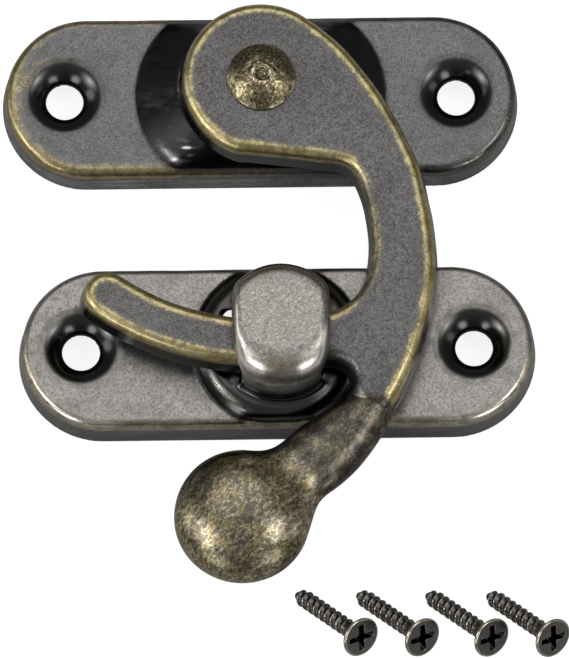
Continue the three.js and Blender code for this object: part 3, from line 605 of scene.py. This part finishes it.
# painted shade on the plate's side walls, in streaks
streak = 0.5 + 0.5 * waves(V * np.array([0.2, 0.2, 1.4]), 0.8, 64)
dark = np.maximum(dark, sstep(1.95, 1.45, V[:, 2]) * (rh > 2.4) * (0.62 + 0.38 * streak))
dark = np.maximum(dark, 0.4 * smudge * np.exp(-((d + 0.8) / 0.5) ** 2) * (V[:, 2] < 3))
dark = np.maximum(dark, 0.5 * smudge * sstep(3.1, 2.1, rh))
dark = np.maximum(dark, 0.5 * smudge * sstep(6.2, 4.8, r) * (V[:, 2] < 3))
V = cast(V, N, 0.012, 21)
piece("keeper_plate_hooded", V, Q, "root", "keeper_plate", M_KEEPER,
      {"wear_and_sheen": w, "hollow_grime_and_shade": hollow_grime_and_shade, "dark": dark, "zone": zone, "painted_highlight": painted_highlight})

# swing arm
V, Q, N, wear_and_sheen, hollow_grime_and_shade = build(arm_field, (-10.2, -28.5, 2.0), (9.8, 4.7, 6.9), H_PLATE, 0.42, 0.085)
along = (V[:, 0] - 5.9) * -0.25 + (V[:, 1] + 17.95) * -0.97
zone = sstep(-0.1, 0.25, along + 0.15 * waves(V, 0.8, 5)) * (V[:, 1] < -17.0)
d = flat_at(V[:, 0], V[:, 1])
band = (0.6 * sstep(-0.72, -0.3, d) + 0.45 * sstep(-1.05, -0.45, d)) * sstep(4.75, 5.05, V[:, 2])
inner = sstep(7.6, 6.8, V[:, 0]) * sstep(-3.5, -5.5, V[:, 1]) * sstep(-15.0, -12.5, V[:, 1]) * sstep(4.6, 5.4, V[:, 0])
notched = sstep(-14.9, -15.3, V[:, 1]) * sstep(6.5, 6.1, V[:, 0]) * sstep(2.2, 2.9, V[:, 0])
w = np.clip(band * (1 - 0.42 * inner) * (0.9 + 0.15 * waves(V, 2.5, 6)) * (1 - zone) * (1 - notched) + 0.1 * wear_and_sheen, 0, 1.2) * (1 - 0.85 * zone)
smudge = 0.5 + 0.5 * waves(V, 1.3, 47)
knob_r = np.hypot(V[:, 0] - KNOB[0] - 0.1, V[:, 1] - KNOB[1] + 0.2)
# painted shade: the arm's side walls and the lower parts of the stem and knob are darkened
dark = np.maximum(sstep(5.1, 4.75, V[:, 2]) * (1 - zone) * 0.85, zone * sstep(4.6, 3.9, V[:, 2]) * 0.6)
stemness = sstep(3.6, 4.6, knob_r) * zone
dark = np.maximum(dark, zone * (0.18 * smudge + 0.42 * np.exp(-(knob_r / 1.5) ** 2)) + stemness * (0.36 + 0.06 * smudge))
hollow_grime_and_shade = np.maximum(hollow_grime_and_shade * 0.7, stemness * 0.5)
# painted shade on the knob: dark patches where the low front lamps' highlights fall, on its lower south side and along
# its north edge
for side in (-1, 1):
    hollow_grime_and_shade = np.maximum(hollow_grime_and_shade, 0.6 * zone * np.exp(-((N[:, 0] - 0.31 * side) ** 2 + (N[:, 1] + 0.6) ** 2) / 0.2 ** 2))
hollow_grime_and_shade = np.maximum(hollow_grime_and_shade, 0.2 * zone * sstep(-0.38, -0.55, N[:, 1]) * sstep(-0.97, -0.85, N[:, 1]) * (1 - stemness))
dark = np.maximum(dark, 0.75 * zone * sstep(0.3, 0.8, N[:, 1] - 0.35 * N[:, 0]))
dark = np.maximum(dark, (1 - zone) * 0.3 * smudge * np.exp(-((d + 0.85) / 0.35) ** 2))
V = cast(V, N, 0.012, 31)
piece("swing_arm_cast", V, Q, "arm", "swing_arm", M_ARM,
      {"wear_and_sheen": w, "hollow_grime_and_shade": hollow_grime_and_shade, "dark": dark, "zone": zone * (1 - 0.4 * stemness), "painted_highlight": 0 * w})

# ---- rivet: a spun dome with a pitted centre, shank and clench
def turned(profile, around):
    """Closed surface of revolution about Z; the profile starts and ends on the axis."""
    pr = np.asarray(profile, float)
    th = np.arange(around) * 2 * math.pi / around
    ring = pr[1:-1]
    V = np.stack([np.outer(ring[:, 0], np.cos(th)), np.outer(ring[:, 0], np.sin(th)),
                  np.repeat(ring[:, 1:2], around, 1)], -1).reshape(-1, 3)
    m = len(ring)
    a = np.arange(m - 1)[:, None] * around + np.arange(around)[None, :]
    b = np.arange(m - 1)[:, None] * around + (np.arange(around)[None, :] + 1) % around
    Q = np.stack([a, b, b + around, a + around], -1).reshape(-1, 4).tolist()
    V = np.vstack([V, [[0, 0, pr[0, 1]], [0, 0, pr[-1, 1]]]])
    lo, hi = len(V) - 2, len(V) - 1
    F = Q + [[(k + 1) % around, k, lo] for k in range(around)]
    F += [[(m - 1) * around + k, (m - 1) * around + (k + 1) % around, hi] for k in range(around)]
    return V, F

def rivet_profile():
    out = [(0, 2.15)] + [(r, 2.15 + 0.02 * r) for r in np.linspace(0.15, 1.2, 6)]
    out += [(1.2 + 0.53 * math.sin(t), 2.44 - 0.27 * math.cos(t)) for t in np.linspace(0.1, 1.5, 8)]
    out += [(1.73, 2.6), (1.7, 2.69), (1.4, 2.71), (1.12, 2.71)]
    out += [(1.1, z) for z in np.linspace(2.75, 5.62, 8)]
    out += [(1.2, 5.65), (1.5, 5.65), (1.72, 5.65)]
    out += [(1.8 + 0.065 * math.sin(t), 5.73 - 0.08 * math.cos(t)) for t in np.linspace(0.0, 2.2, 10)]
    for r in np.linspace(1.82, 0.03, 60):
        dome = 5.82 + 0.72 * (1 - (r / 1.87) ** 2.1) * (1 - 0.12 * (r < 0))
        lip = 0.05 * math.exp(-((r - 0.48) / 0.14) ** 2)
        pit = -0.2 * math.exp(-(r / 0.33) ** 2)
        nub = 0.1 * math.exp(-(r / 0.12) ** 2)
        out.append((r, dome - 0.04 + lip + pit + nub))
    out.append((0, out[-1][1]))
    return out

V, F = turned(rivet_profile(), 120)
r = np.hypot(V[:, 0], V[:, 1])
top = V[:, 2] > 5.8
rough_centre = sstep(0.95, 0.25, r) * top
V[:, 2] += rough_centre * (0.06 * waves(V, 0.42, 77) + 0.03 * waves(V, 0.2, 76)) + top * 0.012 * waves(V, 0.5, 78)
V[:, :2] *= (1 + top * 0.012 * waves(V * 0.35, 1.2, 79))[:, None]
wear_and_sheen = np.clip(1.1 * sstep(1.72, 1.86, r) + 0.75 * np.exp(-((r - 0.5) / 0.16) ** 2) * (0.7 + 0.5 * waves(V, 0.4, 80)) + 0.6 * np.exp(-(r / 0.14) ** 2), 0, 1.3) * (V[:, 2] > 5.6)
hollow_grime_and_shade = 0.7 * np.exp(-((r - 0.26) / 0.1) ** 2) * top
piece("pivot_rivet_spun", V, F, "root", "pivot_rivet", M_RIVET,
      {"wear_and_sheen": wear_and_sheen, "hollow_grime_and_shade": hollow_grime_and_shade, "dark": 0.8 * (V[:, 2] < 5.78), "zone": 0 * wear_and_sheen, "painted_highlight": 0 * wear_and_sheen})

# ---- wood screws
S_LEN, S_HEAD, S_OD, S_CORE, S_PITCH = 5.9, 1.12, 0.5, 0.335, 0.514
CROSS_TURN = -28.2 * rad

def thread_crest(P):
    """0 in the valley, 1 on the crest of the thread."""
    u = P[:, 2] / S_PITCH - np.arctan2(P[:, 1], P[:, 0]) / (2 * math.pi) + 0.1
    u = u - np.floor(u)
    return np.clip(1 - np.abs(u - 0.5) * 2, 0, 1)

def screw_field(P):
    x, y, z = P.T
    r = np.hypot(x, y)
    crest = sstep(0.2, 0.98, thread_crest(P))
    tipk = np.clip(0.48 + z / 1.2, 0, 1)
    fade = sstep(4.95, 4.4, z)
    rr = (S_CORE + 0.03 * sstep(4.3, 4.8, z) + (S_OD - S_CORE) * crest * fade) * tipk
    shaft = (r - rr) * 0.72
    shaft = smax(shaft, -z + 0.02, 0.16)
    shaft = smax(shaft, z - 5.2, 0.1)
    cone = (r - (0.4 + np.maximum(z - 4.95, 0) * 0.92)) * 0.72
    headf = smax(cone, r - S_HEAD, 0.06)
    headf = smax(headf, z - S_LEN + 0.03 * (r / S_HEAD) ** 2, 0.1)
    headf = smax(headf, 4.7 - z, 0.1)
    f = smin(shaft, headf, 0.2)
    c, s = math.cos(CROSS_TURN), math.sin(CROSS_TURN)
    p, q = x * c + y * s, -x * s + y * c
    deep = np.clip((S_LEN - z) / 0.65, 0, 1)
    hl, hw = 0.8 - 0.5 * deep, 0.15 - 0.05 * deep
    arm1 = smax(np.abs(p) - hl, np.abs(q) - hw, 0.08)
    arm2 = smax(np.abs(q) - hl, np.abs(p) - hw, 0.08)
    rec = smax(smin(arm1, arm2, 0.14), (S_LEN - 0.65) - z, 0.1)
    return smax(f, -rec, 0.06)

h_s = 0.042
SV, SQ, SN = skin(screw_field, (-1.3, -1.3, -0.1), (1.3, 1.3, 6.1), h_s)
sb = bulge(SV, SQ, SN, 0.16, h_s)
rs = np.hypot(SV[:, 0], SV[:, 1])
# the head's rim is rubbed pale; the pale line along each thread's crest is a painted highlight
s_rub_and_crest_glint = np.where(SV[:, 2] > 4.95,
                  1.15 * sstep(S_HEAD - 0.17, S_HEAD - 0.06, rs) * sstep(S_LEN - 0.5, S_LEN - 0.22, SV[:, 2]) + 0.2 * np.clip(sb / 0.035, 0, 1),
                  1.1 * sstep(0.72, 0.98, thread_crest(SV)) * sstep(5.0, 4.5, SV[:, 2]))
s_cav = np.clip(-sb / 0.04, 0, 1.3) * (SV[:, 2] < 4.9)
in_cross = (SN[:, 2] < 0.75) & (rs < 0.9) & (SV[:, 2] > S_LEN - 0.66) & (rs < 0.4 + (SV[:, 2] - 4.95) * 0.92 - 0.1)
s_dark = np.where(in_cross | ((SV[:, 2] > 4.95) & (SV[:, 2] < S_LEN - 0.2) & (rs < 0.4 + (SV[:, 2] - 4.95) * 0.92 - 0.08)), 1.0,
                  0.75 * sstep(0.55, 0.2, thread_crest(SV)) * (SV[:, 2] < 4.7))
Rz, Ry = Matrix.Rotation(-45.6 * rad, 3, "Z"), Matrix.Rotation(54.5 * rad, 3, "Y")
R = np.array(Rz @ Ry)
for i, (tx, ty) in enumerate([(1.58, -27.48), (4.88, -27.54), (8.61, -27.60), (11.90, -27.66)]):
    W = SV @ R.T + np.array([tx, ty, 0.22])
    piece(f"wood_screw_{i + 1}_threaded", W, SQ, "root", f"wood_screw_{i + 1}", M_SCREW,
          {"wear_and_sheen": s_rub_and_crest_glint, "hollow_grime_and_shade": s_cav * 0.7, "dark": s_dark, "zone": 0 * s_rub_and_crest_glint, "painted_highlight": 0 * s_rub_and_crest_glint})

# ------------------------------------------------------- floor, light, camera
def floor():
    me = bpy.data.meshes.new("studio_floor")
    s = 2.0
    me.from_pydata([(-s, -s, -0.00002), (s, -s, -0.00002), (s, s, -0.00002), (-s, s, -0.00002)], [], [(0, 1, 2, 3)])
    ob = bpy.data.objects.new("studio_floor", me)
    bpy.context.scene.collection.objects.link(ob)
    m = bpy.data.materials.new("pale_floor")
    m.use_nodes = True
    t = m.node_tree
    t.nodes.clear()
    d = t.nodes.new("ShaderNodeBsdfDiffuse")
    d.inputs["Color"].default_value = (0.42, 0.42, 0.42, 1)
    e = t.nodes.new("ShaderNodeEmission")
    e.inputs["Color"].default_value = (1, 1, 1, 1)
    lp = t.nodes.new("ShaderNodeLightPath")
    k = t.nodes.new("ShaderNodeMath")
    k.operation = "MULTIPLY"
    t.links.new(lp.outputs["Is Camera Ray"], k.inputs[0])
    k.inputs[1].default_value = 0.85
    t.links.new(k.outputs[0], e.inputs["Strength"])
    a = t.nodes.new("ShaderNodeAddShader")
    t.links.new(d.outputs[0], a.inputs[0])
    t.links.new(e.outputs[0], a.inputs[1])
    o = t.nodes.new("ShaderNodeOutputMaterial")
    t.links.new(a.outputs[0], o.inputs["Surface"])
    me.materials.append(m)
floor()

def studio():
    """Soft boxes painted on the sky: one overhead, one front left, one right, one low in front."""
    w = bpy.data.worlds.new("studio")
    bpy.context.scene.world = w
    w.use_nodes = True
    t = w.node_tree
    t.nodes.clear()
    co = t.nodes.new("ShaderNodeTexCoord")
    nrm = t.nodes.new("ShaderNodeVectorMath")
    nrm.operation = "NORMALIZE"
    t.links.new(co.outputs["Generated"], nrm.inputs[0])
    sep = t.nodes.new("ShaderNodeSeparateXYZ")
    t.links.new(nrm.outputs[0], sep.inputs[0])

    def ramp(v, a, b, lo, hi):
        n = t.nodes.new("ShaderNodeMapRange")
        n.interpolation_type = "SMOOTHSTEP"
        t.links.new(v, n.inputs["Value"])
        n.inputs["From Min"].default_value = a
        n.inputs["From Max"].default_value = b
        n.inputs["To Min"].default_value = lo
        n.inputs["To Max"].default_value = hi
        return n.outputs[0]

    def add(a, b):
        n = t.nodes.new("ShaderNodeMath")
        n.operation = "ADD"
        t.links.new(a, n.inputs[0])
        t.links.new(b, n.inputs[1])
        return n.outputs[0]

    total = ramp(sep.outputs[2], 0.3, 0.95, 0.10, 0.3)
    for d, a0, a1, k in PANELS:
        v = Vector(d).normalized()
        dot = t.nodes.new("ShaderNodeVectorMath")
        dot.operation = "DOT_PRODUCT"
        t.links.new(nrm.outputs[0], dot.inputs[0])
        dot.inputs[1].default_value = v
        total = add(total, ramp(dot.outputs["Value"], math.cos(a0 * rad), math.cos(a1 * rad), 0.0, k))
    # the camera itself sees a plain white backdrop
    lp = t.nodes.new("ShaderNodeLightPath")
    seen_sky = t.nodes.new("ShaderNodeMix")
    seen_sky.data_type = "FLOAT"
    t.links.new(lp.outputs["Is Camera Ray"], seen_sky.inputs[0])
    t.links.new(total, seen_sky.inputs[2])
    seen_sky.inputs[3].default_value = 1.0
    bg = t.nodes.new("ShaderNodeBackground")
    bg.inputs["Color"].default_value = (1.0, 0.995, 0.985, 1)
    t.links.new(seen_sky.outputs[0], bg.inputs["Strength"])
    o = t.nodes.new("ShaderNodeOutputWorld")
    t.links.new(bg.outputs[0], o.inputs["Surface"])

PANELS = [
    ((-0.05, 0.42, 0.9), 34, 12, 1.15),
    ((-0.70, -0.23, 0.67), 21, 8, 2.3),
    ((-0.70, -0.23, 0.67), 9, 4, 4.5),
    ((0.60, -0.14, 0.78), 20, 7, 1.9),
    ((0.60, -0.14, 0.78), 8, 4, 4.5),
    ((0.55, -0.75, 0.36), 14, 7, 3.4),
    ((-0.55, -0.75, 0.36), 14, 7, 3.4),
    ((-0.95, 0.1, 0.3), 16, 8, 1.7),
    ((0.95, -0.1, 0.28), 14, 8, 0.9),
]
studio()

# The picture's own axes: right, up, and towards the viewer.
r0, u0 = np.array([1, 0, 0.0175]), np.array([0, 0.9613, 0.2756])
right, up = r0 - 0.01675 * u0, u0 + 0.01675 * r0
right /= np.linalg.norm(right)
up -= (up @ right) * right
up /= np.linalg.norm(up)
back = np.cross(right, up)
target = (np.array([1.08, -13.27, 2.5]) + DATUM) * MM
PX_PER_MM, DIST = 18.5, 1.0
cam = bpy.data.cameras.new("camera")
cam.sensor_fit = "HORIZONTAL"
cam.sensor_width = 36.0
cam.lens = 36.0 * DIST / (569 / PX_PER_MM * MM)
cam.clip_start, cam.clip_end = 0.01, 10.0
cob = bpy.data.objects.new("camera", cam)
bpy.context.scene.collection.objects.link(cob)
eye = target + back * DIST
cob.matrix_world = Matrix([[right[i], up[i], back[i], eye[i]] for i in range(3)] + [[0, 0, 0, 1]])
bpy.context.scene.camera = cob
bpy.context.scene.view_settings.view_transform = "Standard"
